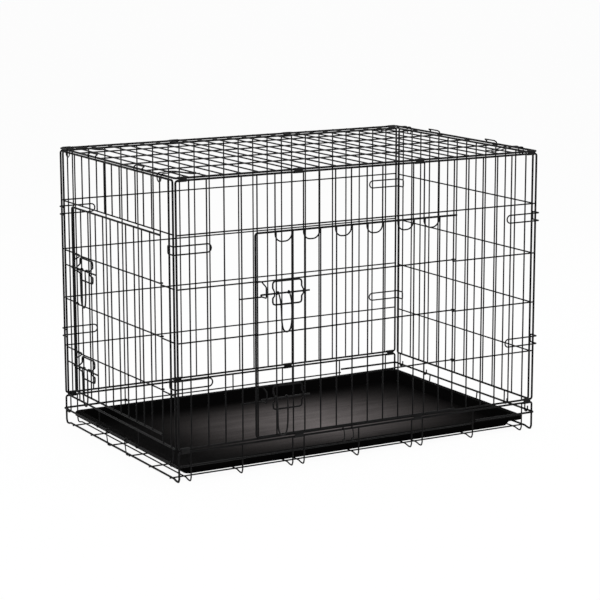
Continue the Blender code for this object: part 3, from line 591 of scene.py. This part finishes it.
base = {
    "railLeft": 0.0433, "railRight": 0.050, "railLeg": 0.186, "railOut": 0.0046, "railBend": 0.005,
    "railSink": 0.0011, "railTail": 0.001, "floorLift": 0.0044, "longWires": (0.061, 0.182, 0.303),
    "wirePast": 0.003, "wallWire": 0.0415, "wallSink": 0.0005, "wallWeld": 0.0015,
    "footHeight": 0.012, "footLength": 0.008, "footRamp": 0.014, "toeInset": 0.007,
    "shinInset": 0.0035, "shinRise": 0.0012, "nearEnd": 0.033, "stops": (-0.082, 0.162),
}
flat = math.cos(math.radians(45))  # half the side of the solids' square wires, as a share of the radius


def footPath(x, floor, low):
    toe = halfW - base["toeInset"]
    heel = toe - base["footLength"]
    half = [(halfW, base["footHeight"]), (halfW - base["shinInset"], low + base["shinRise"])]
    half += [(toe, low), (heel, low), (heel - base["footRamp"], floor)]
    path = [Vector((x, -y, z)) for y, z in half]
    return path + [Vector((x, y, z)) for y, z in half[::-1]]


def wallBend(path, height):  # takes a cross wire up both walls and softens its bends
    first, last, half = path[0], path[-1], len(path) // 2
    near, far = soften(path[:half]), soften(path[half:])
    return [Vector((first.x, first.y, height)), *near, *far, Vector((last.x, last.y, height))]


def basePanel():
    endFloor = base["floorLift"] + wire["frame"] * flat
    wires = []
    for x in (-halfL, halfL):
        path = footPath(x, endFloor, wire["frame"] + wire["coating"])
        path = wallBend(path, baseRail - cage["cornerBend"])
        wires.append((path, wire["frame"], False))
    bend = cage["cornerBend"]
    for side in (-1, 1):
        y = side * halfW
        tail = baseRail - bend - base["railTail"]
        corners = [Vector((-halfL, y, tail)), Vector((-halfL, y, baseRail))]
        corners += [Vector((halfL, y, baseRail)), Vector((halfL, y, tail))]
        wires.append((fillet(corners, bend), wire["frame"], False))
    end = halfL - base["nearEnd"]
    xs = [-end, (bays[0][-1] - end) / 2, bays[0][-1], bays[1][0], (clipOne + clipTwo) / 2]
    xs += [bays[1][-1], bays[2][0], (bays[2][0] + end) / 2, end]
    low = wire["mesh"] + wire["coating"]
    for x in xs:
        path = footPath(x, base["floorLift"] + wire["mesh"] * flat, low)
        wires.append(grilleWire(wallBend(path, baseRail)))
    height = base["floorLift"] - wire["mesh"] + weld["sink"]
    past = base["wirePast"]
    welds = []
    for y in base["longWires"]:
        for side in (-1, 1):
            ends = [Vector((x, side * y, height)) for x in (-halfL - past, halfL + past)]
            wires.append(grilleWire(ends))
            welds += [Vector((x, side * y, base["floorLift"] - weld["sink"] / 2)) for x in xs]
    wall = halfW - wire["mesh"] * (1 + flat) + base["wallSink"]
    for side in (-1, 1):
        ends = [Vector((x, side * wall, base["wallWire"])) for x in (xs[1] - past, xs[-2] + past)]
        wires.append(grilleWire(ends))
        welds += [Vector((x, side * (halfW - base["wallWeld"]), base["wallWire"])) for x in xs[1:-1]]
    legOut = halfW + wire["mesh"] * flat + wire["frame"] - base["railSink"]
    for side, height in ((-1, base["railLeft"]), (1, base["railRight"])):
        x = side * (halfL + base["railOut"])
        leg = side * (halfL - base["railLeg"])
        path = [Vector((leg, -legOut, height)), Vector((x, -legOut, height))]
        path += [Vector((x, legOut, height)), Vector((leg, legOut, height))]
        wires.append((fillet(path, base["railBend"]), wire["frame"], False))
    for y in base["stops"]:
        ends = [Vector((halfL + base["railOut"], y, base["railRight"])), Vector((halfL, y, endFloor))]
        wires.append(grilleWire(ends))
    return makeWires("basePanelWires", wires, welds)


settle(basePanel(), "cage", "black_coated_wire", "base_panel")
print("base grille made")


door = {
    "frontTop": 0.614, "frontBottom": 0.0918, "endTop": 0.6165, "endBottom": 0.110, "overlap": 0.0125,
    "wireShift": 0.0023, "hingeRise": 0.0055, "eyeTurn": 280, "railPastPin": 0.006,
}
guide = {  # a loop's foot as insets and heights from the rod's level, and the end of its hump
    "foot": ((0.007, -0.030), (0.0018, -0.0282), (0, -0.023), (0, -0.013)), "humpEnd": 0.005, "bend": 0.0022,
}


def pivotHooks(place, pivots, height):
    reach = wire["frame"] + wire["mesh"] + weld["gap"]
    found = []
    for s in pivots:
        path = [place(s, base["railOut"] - reach, endPanel["bottom"] + into)]
        path += arc(place(s, base["railOut"], height), outOf(place), upWay, reach, 180, 360)
        path.append(place(s, base["railOut"] + reach, height + endPanel["hookTip"]))
        found.append(grilleWire(path))
    return found


def endPivots(middle):
    edge = endSide - endPanel["pivotInset"]
    return [-edge, *middle, edge]


def rightEnd():
    side = endSide + into
    low, high = endPanel["bottom"] - into, endPanel["top"] + into
    wires = [border(right, -endSide, endPanel["bottom"], endSide, endPanel["top"])]
    wires += [line(right, s, low, s, high, lap) for s in endWires]
    wires += [line(right, -side, level, side, level, -lap) for level in endLevels[1:-1]]
    wires += pivotHooks(right, endPivots(endPanel["rightPivots"]), base["railRight"])
    return makeWires("rightEndWires", wires, crossings(right, endWires, endLevels[1:-1]))


def leftEnd():
    side = endSide + into
    post, pin = leftPost, leftPin
    wires = [border(left, -endSide, endPanel["bottom"], endSide, endPanel["top"])]
    for s in endWires:
        low = endPanel["bottom"] - into if s <= post or s >= pin else endLevels[4] - into
        wires.append(line(left, s, low, s, endPanel["top"] + into, lap))
    wires.append(line(left, -side, endLevels[4], side, endLevels[4], -lap))
    for level in endLevels[1:4]:
        wires.append(line(left, pin - into, level, side, level, -lap))
    loopAt = post + latches["left"]["keeper"]
    for level in (endLevels[1], endLevels[3]):
        wires.append(boltKeeper(left, -side, -side, loopAt, level))
    wires.append(line(left, -side, endLevels[2], post + into, endLevels[2], -lap))
    wires += pivotHooks(left, [-y for y in endPivots(endPanel["leftPivots"])], base["railLeft"])
    full = [s for s in endWires if s <= post or s >= pin]
    welds = crossings(left, endWires, endLevels[4:5]) + crossings(left, full, endLevels[1:4])
    return makeWires("leftEndWires", wires, welds)


def guideLoop(place, s0, s1, level):
    path = []
    for s, way in ((s0, -1), (s1, 1)):
        steps = [(inset, guideOut, z) for inset, z in guide["foot"]] + [(0, humpOut, -guide["humpEnd"])]
        steps += [(inset, n, -z) for inset, n, z in steps[::-1]]
        path += [place(s - way * inset, n, level - way * z) for inset, n, z in steps]
    path = closedFillet(path, guide["bend"], steps=3)
    face, out = place(0, guideOut, 0), outOf(place)
    humps = [max(0, (p - face).dot(out)) / (humpOut - guideOut) for p in path]
    return path, [wire["bar"] + (wire["guide"] - wire["bar"]) * share for share in humps], True


def doorLeaf(name, place, wireSpots, latchSide, pin, bottom, topEdge, levels, guides):
    far = pin + door["railPastPin"]
    corners = [place(far, doorFrameOut, topEdge), place(latchSide, doorFrameOut, topEdge)]
    corners += [place(latchSide, doorFrameOut, bottom), place(far, doorFrameOut, bottom)]
    wires = [(fillet(corners, cage["cornerBend"]), wire["frame"], False)]
    wires += [line(place, s, bottom - into, s, topEdge + into, doorWiresOut) for s in wireSpots]
    along = place(1, 0, 0) - place(0, 0, 0)
    welds = []
    for level in levels:
        high = level + door["hingeRise"]
        path = [place(latchSide - into, barsOut, level), place(wireSpots[-1], barsOut, high)]
        path += arc(place(pin, pinOut, high), -outOf(place), along, -eyeReach, 0, -door["eyeTurn"])
        wires.append(grilleWire(path))
        run = wireSpots[-1] - latchSide
        for s in wireSpots:
            share = (s - latchSide) / run
            welds.append(place(s, (barsOut + doorWiresOut) / 2, level + door["hingeRise"] * share))
    wires += [guideLoop(place, *spot) for spot in guides]
    return makeWires(name, wires, welds)


def slideBolt(name, place, tip, length, level):
    path = [place(tip + latches["tipBack"], rodOut, level - latches["tipDrop"]), place(tip, rodOut, level)]
    path = fillet([*path, place(tip + length, rodOut, level)], latches["tipBend"])
    return makeWires(name, [(path, wire["bolt"], False)], finish=latchFinish, sides=latches["boltSides"])


def hangingGrip(name, place, s0, s1, level, drop, lean):
    eyes = [arc(place(s - lean, rodOut, level), outOf(place), upWay, latches["eye"], *latches["eyeTurn"])
            for s in (s0, s1)]
    out = rodOut + latches["eye"] - latches["legInset"]
    low = [place(s0 + inset, out, level - drop * share) for inset, share in latches["gripShape"]]
    low += [place(s1 - inset, out, level - drop * share) for inset, share in latches["gripShape"][::-1]]
    bent = soften([eyes[0][-1], *low, eyes[1][-1]], rounds=3)[1:-1]
    path = eyes[0] + bent + eyes[1][::-1]
    shoulder = drop * latches["gripShape"][0][1]
    shares = [min(1, max(0, (level - p.z) / shoulder)) for p in path]
    shares[:len(eyes[0])] = [0] * len(eyes[0])
    shares[-len(eyes[1]):] = [0] * len(eyes[1])
    sizes = [wire["grip"] + (wire["leg"] - wire["grip"]) * share for share in shares]  # thin at the eyes
    return makeWires(name, [(path, sizes, False)], finish=latchFinish, sides=latches["gripSides"])


def latchSet(side, place, tip, first, rods, bodies):
    sizes = latches[side]
    for i, name in enumerate(("upper", "lower")):
        bolt = slideBolt(f"{side}Bolt{name.title()}", place, tip, sizes["rod"], rods[i])
        settle(bolt, f"{bodies}_bolt_{name}", "black_coated_latch", f"{side}_bolt_{name}")
        near = first + sizes["grips"][i]
        grip = hangingGrip(f"{side}Grip{name.title()}", place, near, near + sizes["widths"][i], rods[i],
                           sizes["drops"][i], sizes["leans"][i])
        settle(grip, f"{bodies}_grip_{name}", "black_coated_latch", f"{side}_handle_{name}")


def frontDoor():
    pin, post = frontPin, frontPost
    spots = [x - door["wireShift"] for x in allWires if post < x < pin]
    rods = [level - rod["drop"] for level in (panelLevels[3], panelLevels[1])]
    first = spots[0] - latches["front"]["guideInset"]
    guides = [(first, first + latches["front"]["guide"], level) for level in rods]
    leaf = doorLeaf("frontDoorWires", front, spots, post - door["overlap"], pin, door["frontBottom"],
                    door["frontTop"], panelLevels[1:4], guides)
    settle(leaf, "side_door", "black_coated_wire", "front_door")
    latchSet("front", front, post - latches["front"]["tip"], first, rods, "side")


def leftDoor():
    pin, post = leftPin, leftPost
    latchSide = post - door["overlap"]
    rods = [level - rod["drop"] for level in (endLevels[3], endLevels[1])]
    first = latchSide + latches["left"]["guideInset"]
    guides = [(first, first + latches["left"]["guide"], level) for level in rods]
    leaf = doorLeaf("leftDoorWires", left, endWires[2:-2], latchSide, pin, door["endBottom"],
                    door["endTop"], endLevels[1:4], guides)
    settle(leaf, "end_door", "black_coated_wire", "left_door")
    latchSet("left", left, post - latches["left"]["tip"], first, rods, "end")


settle(rightEnd(), "right_end", "black_coated_wire", "right_end_panel")
settle(leftEnd(), "left_end", "black_coated_wire", "left_end_panel")
frontDoor()
leftDoor()
print("end panels, doors and latches made")


clips = {
    "length": 0.026, "endLength": 0.023, "wall": 0.001, "clearance": 0.0003, "slit": 0.0008,
    "edge": 0.0003, "edgeSteps": 3, "bendSteps": 12,
}


# Sweeps a strip along a bend round two wires and copies it to each place.
def clipNodes():
    group, sockets, tree, given = newGroup("stripClips", "clips", places="Geometry", stripLength="Float",
                                           stripWall="Float", bendPath="Object", finish="Material")
    bend = tree.add("GeometryNodeObjectInfo", {}, {"Object": given["bendPath"]}, "Geometry")
    path = tree.add("GeometryNodeMeshToCurve", {}, {"Mesh": bend})
    strip = tree.add("GeometryNodeCurvePrimitiveQuadrilateral", {},
                     {"Width": given["stripLength"], "Height": given["stripWall"]})
    strip = tree.add("GeometryNodeFilletCurve", {"mode": "POLY"},
                     {"Curve": strip, "Count": clips["edgeSteps"], "Radius": clips["edge"]})
    clip = tree.add("GeometryNodeCurveToMesh", {}, {"Curve": path, "Profile Curve": strip, "Fill Caps": True})
    dots = tree.add("GeometryNodeMeshToPoints", {}, {"Mesh": given["places"]})
    copies = tree.add("GeometryNodeInstanceOnPoints", {}, {"Points": dots, "Instance": clip})
    endGroup(tree, copies, given["finish"])
    return group, sockets


def pointMesh(name, points, edges=()):
    data = bpy.data.meshes.new(name)
    data.from_pydata([tuple(p) for p in points], list(edges), [])
    return addObject(name, data)


def stripClips():
    group, sockets = clipNodes()
    middle = wire["frame"] + clips["clearance"] + clips["wall"] / 2
    end = halfL - cage["cornerBend"] - clips["endLength"] / 2
    slit = math.degrees(clips["slit"] / middle)
    for name, low, high in (("base", baseRail, cage["panelBottom"]), ("top", cage["panelTop"], topHeight)):
        gap = high - low
        across = Vector((0, 1, 0))
        path = arc(Vector((0, 0, gap)), across, upWay, middle, 0, 180, clips["bendSteps"])
        path += arc(Vector((0, 0, 0)), across, upWay, middle, 180, 360 - slit, clips["bendSteps"])
        edges = [(i, i + 1) for i in range(len(path) - 1)]
        bend = pointMesh(name + "ClipPath", path, edges)
        for part, numbers, xs, length in (("Middle", (2, 3), (clipOne, clipTwo), clips["length"]),
                                          ("End", (1, 4), (-end, end), clips["endLength"])):
            places = [Vector((x, side * halfW, low)) + shift for x in xs for side in (-1, 1)]
            host = pointMesh(name + part + "ClipHost", places)
            grow(host, group, sockets, stripLength=length, stripWall=clips["wall"], bendPath=bend,
                 finish=clipFinish)
            covered = [f"{name}_clip_{side}_{n}" for side in ("front", "back") for n in numbers]
            settle(plainMesh(host, name + part + "Clips"), "cage", "black_coated_clip", *covered)
        bpy.data.objects.remove(bend)


stripClips()
print("strip clips made")


tray = {
    "endRoom": 0.0107, "sideRoom": 0.016, "rimTop": 0.0375, "rim": 0.0185, "lip": 0.010, "wall": 0.0025,
    "taper": 0.014, "corner": 0.024, "cornerShare": 0.3, "cornerPoints": 13, "clearance": 0.0004,
    "floorStart": 0.030, "insideBend": 0.0022, "underBend": 0.0008, "sharpAngle": 35,
}


def trayRing(mesh, inset, z):  # one level outline of the tray
    corner = max(tray["corner"] - inset * tray["cornerShare"], tray["wall"])
    halfLong = halfL - tray["endRoom"] - inset - corner
    halfWide = halfW - tray["sideRoom"] - inset - corner
    ring = []
    for quarter, (a, b) in enumerate(((1, 1), (-1, 1), (-1, -1), (1, -1))):
        for turn in spread(0, 90, tray["cornerPoints"]):
            angle = math.radians(90 * quarter + turn)
            x = a * halfLong + corner * math.cos(angle)
            y = b * halfWide + corner * math.sin(angle)
            ring.append(mesh.verts.new(Vector((x, y, z)) + shift))
    return ring


def makeTray():
    bottom = base["floorLift"] + 2 * wire["mesh"] * flat + tray["clearance"]
    rim, topZ, wall, taper = tray["rim"], tray["rimTop"], tray["wall"], tray["taper"]
    start = tray["floorStart"]
    inside = [(rim + taper + wall + start, bottom + wall), (rim + taper + wall, bottom + wall), (rim, topZ)]
    inside += [(0, topZ), (0, topZ - tray["lip"])]
    under = [(wall, topZ - tray["lip"]), (wall, topZ - wall), (rim - wall, topZ - wall)]
    under += [(rim + taper, bottom), (rim + taper + start, bottom)]
    section = fillet([Vector((a, 0, z)) for a, z in inside], tray["insideBend"], steps=5)
    section += fillet([Vector((a, 0, z)) for a, z in under], tray["underBend"], steps=3)
    mesh = bmesh.new()
    rings = [trayRing(mesh, p.x, p.z) for p in section]
    for one, two in zip(rings, rings[1:]):
        for i in range(len(one)):
            j = (i + 1) % len(one)
            mesh.faces.new((one[i], one[j], two[j], two[i]))
    mesh.faces.new(rings[0])
    mesh.faces.new(rings[-1][::-1])
    bmesh.ops.recalc_face_normals(mesh, faces=mesh.faces)
    data = bpy.data.meshes.new("trayShell")
    mesh.to_mesh(data)
    mesh.free()
    data.shade_smooth()
    data.set_sharp_from_angle(angle=math.radians(tray["sharpAngle"]))
    data.materials.append(trayFinish)
    settle(addObject("trayShell", data), "pan", "black_tray_plastic", "tray")


makeTray()
print("tray made")


trayHook = {"places": (-0.048, 0.068), "wrap": (230, 0), "foot": (-10, -115), "footSteps": 8}


def trayHooks():
    out = Vector((-1, 0, 0))
    endFloor = base["floorLift"] + wire["frame"] * flat
    reach = wire["frame"] + wire["hook"] + weld["gap"]
    for number, y in enumerate(trayHook["places"], 1):
        rail = Vector((-halfL - base["railOut"], y, base["railLeft"]))
        endWire = Vector((-halfL, y, endFloor))
        path = arc(rail, out, upWay, reach, *trayHook["wrap"])
        path += arc(endWire, out, upWay, reach, *trayHook["foot"], trayHook["footSteps"])
        piece = makeWires(f"trayHook{number}", [(path, wire["hook"], False)], finish=latchFinish)
        settle(piece, f"pan_hook_{number}", "black_coated_latch", f"tray_hook_{number}")


bail = {
    "x": -0.0484, "width": 0.0267, "curl": 0.0032, "curlOut": 0.0015, "curlDrop": 0.029,
    "curlTurn": (-250, 0), "curlSteps": 12, "bowOut": 0.0085, "bowDrop": 0.017, "neckDrop": 0.003,
    "wrap": (0, 190),
}


def railClip():
    reach = wire["frame"] + wire["clip"] + weld["gap"]
    out = Vector((0, -1, 0))
    legs = []
    for side in (-1, 1):
        rail = Vector((bail["x"] + side * bail["width"] / 2, -halfW, baseRail))
        curl = rail + out * bail["curlOut"] - upWay * bail["curlDrop"]
        leg = arc(curl, out, upWay, bail["curl"], *bail["curlTurn"], bail["curlSteps"])
        bow = [leg.pop(), rail + out * bail["bowOut"] - upWay * bail["bowDrop"]]
        bow.append(rail + out * reach - upWay * bail["neckDrop"])
        legs.append(leg + soften(bow) + arc(rail, out, upWay, reach, *bail["wrap"]))
    path = legs[0] + legs[1][::-1]
    piece = makeWires("frontRailClip", [(path, wire["clip"], False)], finish=latchFinish)
    settle(piece, "rail_bail", "black_coated_latch", "front_rail_clip")


topHook = {
    "frontInset": 0.079, "backInset": 0.062, "width": 0.022, "tail": 0.018, "tailBend": 0.006,
    "passing": 0.010, "rise": 0.001, "landing": 0.014, "overhang": 0.0022, "shoulder": 0.0035,
    "legDrop": 0.012, "tipDrop": 0.0175, "tipWidth": 0.003,
}


# Each hook runs under one cross wire, over the next and over the end rail, and turns down to a tip.
def topHooks():
    thin = wire["hook"]
    over = topHeight + wire["frame"] + weld["gap"] + thin
    under = topHeight + lap - wire["mesh"] - weld["gap"] - thin
    above = topHeight + lap + wire["mesh"] + weld["gap"] + thin
    outside = halfL + wire["frame"] + weld["gap"] + 2 * thin
    half = topHook["width"] / 2
    step = topHook["passing"]
    wires = []
    for side in (-1, 1):
        first = abs(allWires[0] if side < 0 else allWires[-1])
        second = abs(allWires[1] if side < 0 else allWires[-2])
        profile = [(second - topHook["tail"], under), (second + topHook["tailBend"], under)]
        profile += [(first - step, above), (first + step, above + topHook["rise"])]
        profile += [(halfL - topHook["landing"], over), (halfL + topHook["overhang"], over)]
        profile += [(outside, over - topHook["shoulder"]), (outside, topHeight - topHook["legDrop"])]
        for y in (topHook["frontInset"] - halfW, halfW - topHook["backInset"]):
            path = [Vector((side * x, y - half, z)) for x, z in profile]
            for tip in (y - topHook["tipWidth"], y + topHook["tipWidth"]):
                path.append(Vector((side * outside, tip, topHeight - topHook["tipDrop"])))
            path += [Vector((side * x, y + half, z)) for x, z in profile[::-1]]
            wires.append((soften(path, rounds=3), thin, False))
    piece = makeWires("topHooks", wires, finish=latchFinish)
    settle(piece, "cage", "black_coated_latch", "top_hook_front_left", "top_hook_front_right",
           "top_hook_back_left", "top_hook_back_right")


trayHooks()
railClip()
topHooks()
print("hooks and rail clip made")


studio = {"floorSize": 60.0, "floorColor": 0.86, "floorRough": 0.9, "shadowShare": 0.05, "worldLight": 0.55}
lamps = {  # where each stands, what it points at, its size and its power
    "keyLamp": ((-2.6, -3.2, 3.4), (0, 0, 0.3), (2.4, 1.8), 90),
    "fillLamp": ((3.4, -2.2, 2.4), (0, 0, 0.3), (2.2, 1.6), 45),
    "topLamp": ((0.2, 0.4, 3.8), (0, 0, 0), (2.6, 2.0), 60),
}


def whiteShare(tree, share):  # camera, glossy and transmission rays see white, other rays the surface
    rays = tree.add("ShaderNodeLightPath")
    seen, mirrored, through = tree.pick(rays, "Is Camera Ray", "Is Glossy Ray", "Is Transmission Ray")
    return (seen + mirrored + through).atMost(1.0) * share


def makeFloor():
    mesh = bmesh.new()
    bmesh.ops.create_grid(mesh, x_segments=1, y_segments=1, size=studio["floorSize"] / 2)
    data = bpy.data.meshes.new("studioFloor")
    mesh.to_mesh(data)
    mesh.free()
    material, shader, tree, _ = finishTree("paleFloor")
    shade = studio["floorColor"]
    connect(tree, shader, Base_Color=(shade, shade, shade, 1), Roughness=studio["floorRough"])
    mixed = tree.add("ShaderNodeMixShader", {}, {
        0: whiteShare(tree, 1 - studio["shadowShare"]),
        1: Value(tree, shader.outputs[0]),
        2: tree.add("ShaderNodeEmission"),
    })
    tree.feed(tree.tree.nodes["Material Output"].inputs["Surface"], mixed)
    data.materials.append(material)
    floor = addObject("studioFloor", data)


def makeWorld():
    world = bpy.data.worlds.new("studioWorld")
    world.use_nodes = True
    bpy.context.scene.world = world
    tree = Tree(world.node_tree)
    background = world.node_tree.nodes["Background"]
    background.inputs["Color"].default_value = (1, 1, 1, 1)
    strength = studio["worldLight"] + whiteShare(tree, 1.0) * (1 - studio["worldLight"])
    tree.feed(background.inputs["Strength"], strength)


def softLamp(name, spot, aim, size, power):
    lamp = bpy.data.lights.new(name, "AREA")
    lamp.shape = "RECTANGLE"
    lamp.size, lamp.size_y = size
    lamp.energy = power
    obj = addObject(name, lamp)
    obj.location = spot
    obj.rotation_euler = (Vector(aim) - Vector(spot)).to_track_quat("-Z", "Y").to_euler()


# Solved from the photo: the focal length in its pixels, its width, the angles in degrees and the place.
camera = {"pixels": 2093.0, "picture": 600, "sensor": 36.0, "clipEnd": 200, "azimuth": -29.53,
          "elevation": 11.08, "roll": -0.11, "spot": (-2.749, -4.869, 1.449)}


def makeCamera():
    az, el, roll = (math.radians(camera[name]) for name in ("azimuth", "elevation", "roll"))
    backWay = Vector((math.sin(az) * math.cos(el), -math.cos(az) * math.cos(el), math.sin(el)))
    rightWay = Vector((math.cos(az), math.sin(az), 0))
    up = backWay.cross(rightWay)
    rightRolled = math.cos(roll) * rightWay + math.sin(roll) * up
    upRolled = -math.sin(roll) * rightWay + math.cos(roll) * up
    lens = bpy.data.cameras.new("photoCamera")
    lens.sensor_width = camera["sensor"]
    lens.lens = camera["sensor"] * camera["pixels"] / camera["picture"]
    lens.clip_end = camera["clipEnd"]
    obj = addObject("photoCamera", lens)
    turn = Matrix((rightRolled, upRolled, backWay)).transposed().to_4x4()
    obj.matrix_world = Matrix.Translation(Vector(camera["spot"]) + shift) @ turn
    bpy.context.scene.camera = obj


makeFloor()
makeWorld()
for lampName, (spot, aim, size, power) in lamps.items():
    softLamp(lampName, spot, aim, size, power)
makeCamera()
bpy.context.scene.view_settings.view_transform = "Standard"
print("floor, light and camera made")
